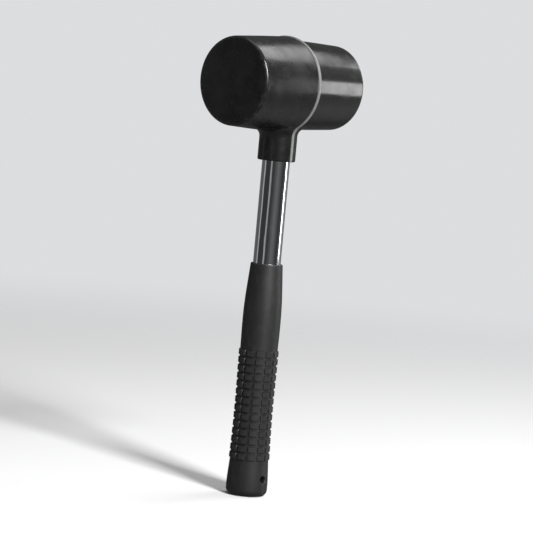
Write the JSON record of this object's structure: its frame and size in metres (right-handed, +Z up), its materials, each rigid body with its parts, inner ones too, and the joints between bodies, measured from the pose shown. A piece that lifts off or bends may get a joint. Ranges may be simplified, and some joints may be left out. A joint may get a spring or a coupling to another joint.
{
  "type": "dead blow mallet",
  "caption": "Shot-filled dead blow mallet with a split rubber head, a soft and a hard striking face, a chromed tubular steel handle and a textured rubber grip with a hanging hole.",
  "frame": {"origin": "middle of the handle's butt end", "axes": "+Z up the handle to the head, +X along the head's axis towards the hard striking face, Y across the mallet along the hanging hole"},
  "size_m": [0.1, 0.063, 0.3],
  "materials": {
    "soft_rubber": "satin",
    "hard_polymer": "semi-gloss",
    "seal_rubber": "satin",
    "canister_steel": "mill",
    "shot_steel": "polished",
    "pin_steel": "zinc plated",
    "tube_chrome": "bright chrome",
    "core_wood": "turned",
    "plug_plastic": "moulded",
    "grip_rubber": "matte, ribbed"
  },
  "bodies": {
    "mallet": {"soft_face_shell": "soft_rubber", "hard_face_shell": "hard_polymer", "seam_seal": "seal_rubber", "shot_canister": "canister_steel", "soft_end_cap": "canister_steel", "hard_end_cap": "canister_steel", "handle_socket": "canister_steel", "socket_pins": "pin_steel", "handle_tube": "tube_chrome", "tube_core": "core_wood", "tube_end_plug": "plug_plastic", "grip_sleeve": "grip_rubber"},
    "shot": {"steel_shot": "shot_steel"}
  },
  "joints": [
    {"name": "shot_shift", "type": "slide", "parent": "mallet", "child": "shot", "axis": [1, 0, 0], "range_m": [-0.004, 0.004]}
  ]
}
